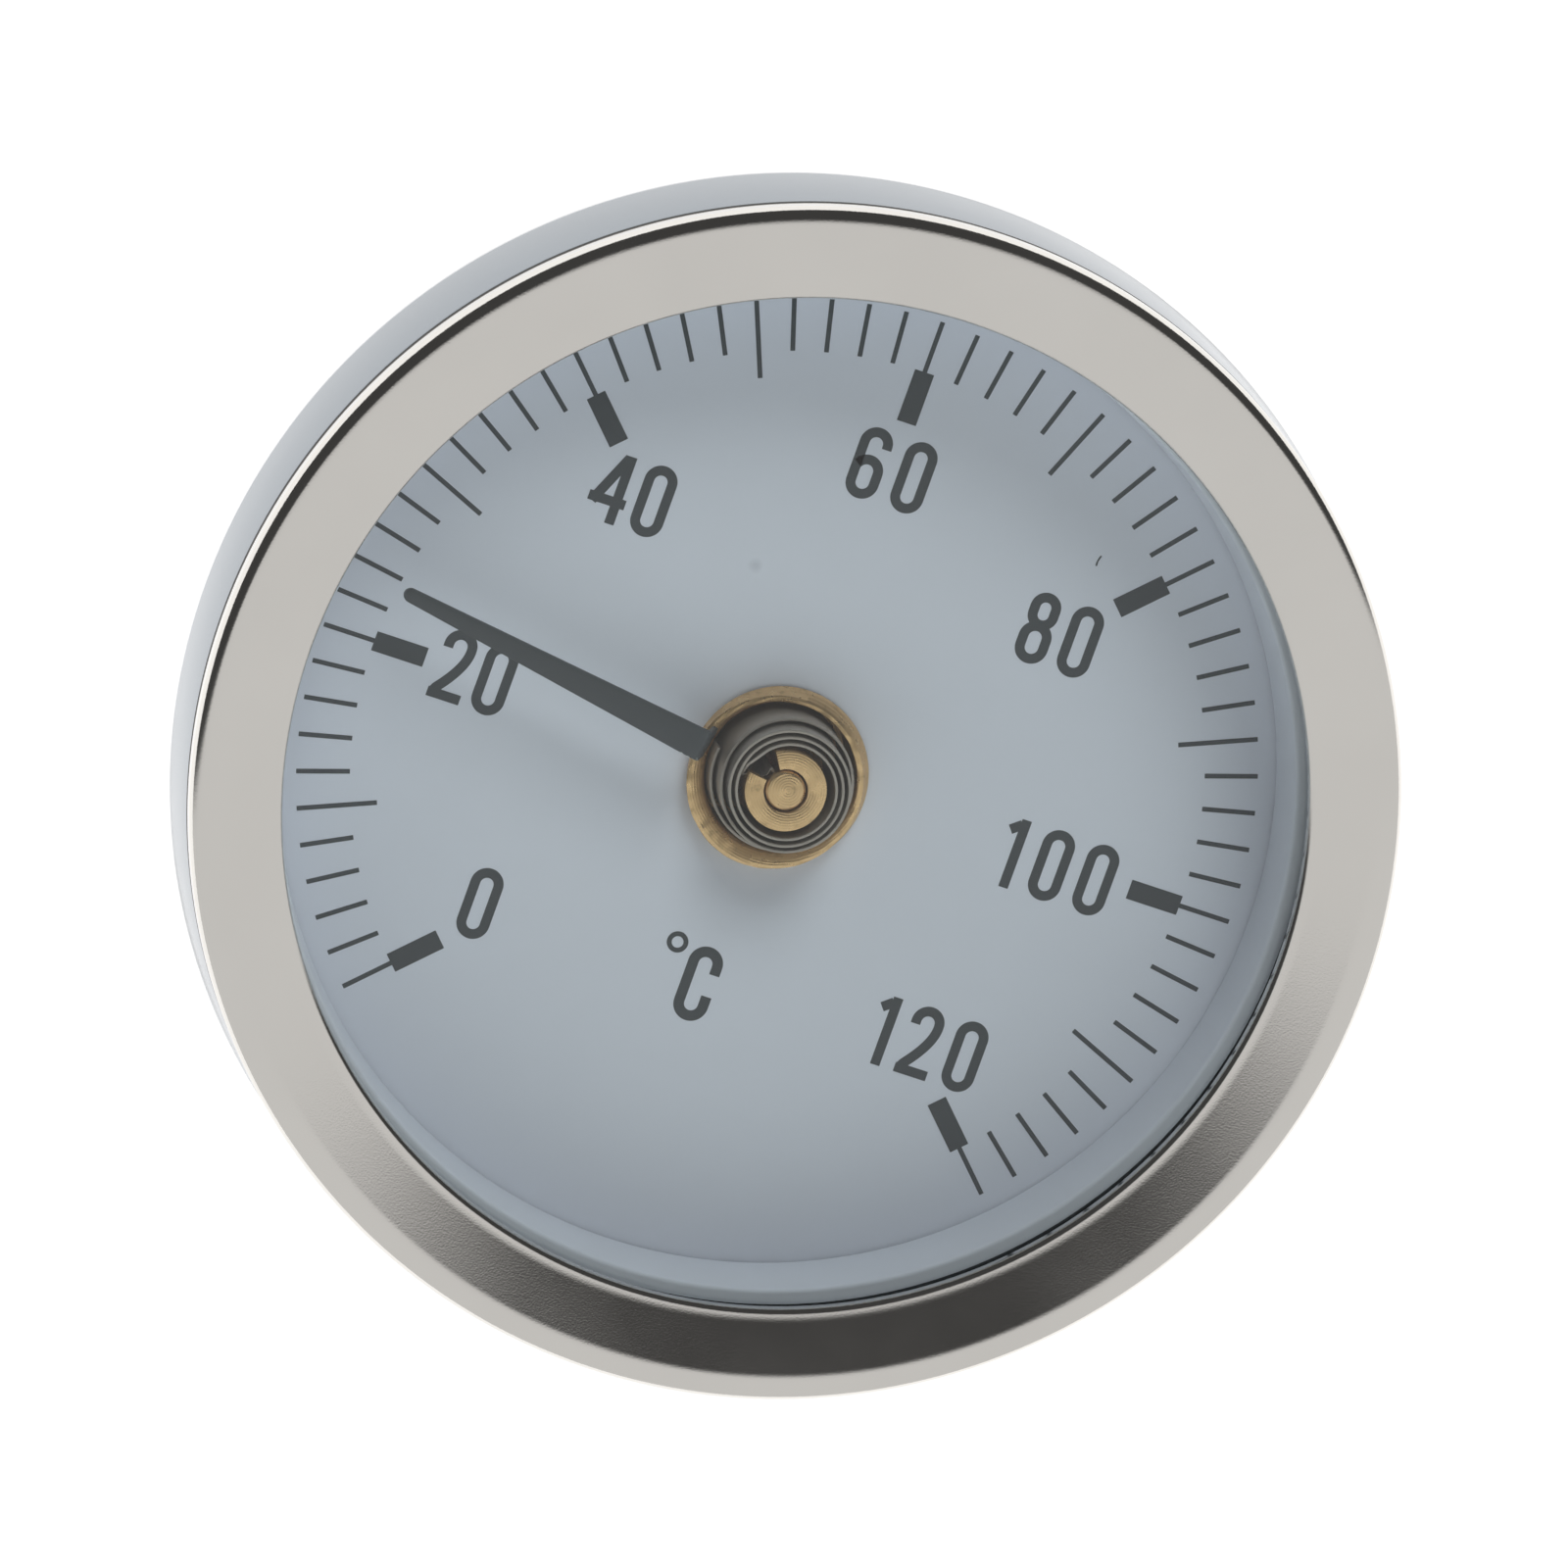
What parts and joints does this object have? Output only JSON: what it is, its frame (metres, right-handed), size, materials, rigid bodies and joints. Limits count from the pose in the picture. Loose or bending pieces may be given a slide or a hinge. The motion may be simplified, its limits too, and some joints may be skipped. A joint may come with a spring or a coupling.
{
  "type": "dial thermometer",
  "caption": "Clip-on dial thermometer with a pointer on a spiral bimetal strip, a bright round case, and a back saddle and spring that hold it to a pipe.",
  "frame": {"origin": "centre of the flat brass face that touches the pipe, at the middle of the back", "axes": "+Z out of the dial along its axis, +Y towards the top of the dial and along the pipe, +X to the dial's right and along the spring towards its pull ring"},
  "size_m": [0.0636, 0.0636, 0.0223],
  "materials": {
    "satin_nickel": "satin nickel plate",
    "bright_zinc": "bright zinc plate",
    "spring_steel": "polished spring steel",
    "turned_brass": "turned and lightly tarnished",
    "bimetal_strip": "rolled two-metal strip",
    "black_paint": "matt paint",
    "dial_paint": "matt white enamel",
    "white_plastic": "moulded",
    "black_rubber": "moulded",
    "window_glass": "clear flat"
  },
  "bodies": {
    "case": {"case_shell": "bright_zinc", "bezel_ring": "satin_nickel", "dial_plate": "dial_paint", "spacer_ring": "white_plastic", "window_gasket": "black_rubber", "window_glass": "window_glass", "contact_cup": "turned_brass", "snap_ring": "spring_steel", "hub_pin": "turned_brass", "hub_collar": "turned_brass", "bimetal_spiral": "bimetal_strip", "pipe_saddle": "bright_zinc", "saddle_rivet_left": "spring_steel", "saddle_rivet_right": "spring_steel", "tension_spring": "spring_steel"},
    "pointer": {"pointer": "black_paint"},
    "pull_ring": {"spring_pull_ring": "spring_steel"}
  },
  "joints": [
    {"name": "pointer_turn", "type": "hinge", "parent": "case", "child": "pointer", "pos_m": [0, 0, 0], "axis": [0, 0, 1], "range_deg": [-216, 54], "stiffness_Nm_per_rad": 0.0005, "deforming": ["bimetal_spiral"]},
    {"name": "spring_stretch", "type": "slide", "parent": "case", "child": "pull_ring", "axis": [1, 0, 0], "range_m": [0, 0.035], "stiffness_N_per_m": 150, "deforming": ["tension_spring"]}
  ]
}
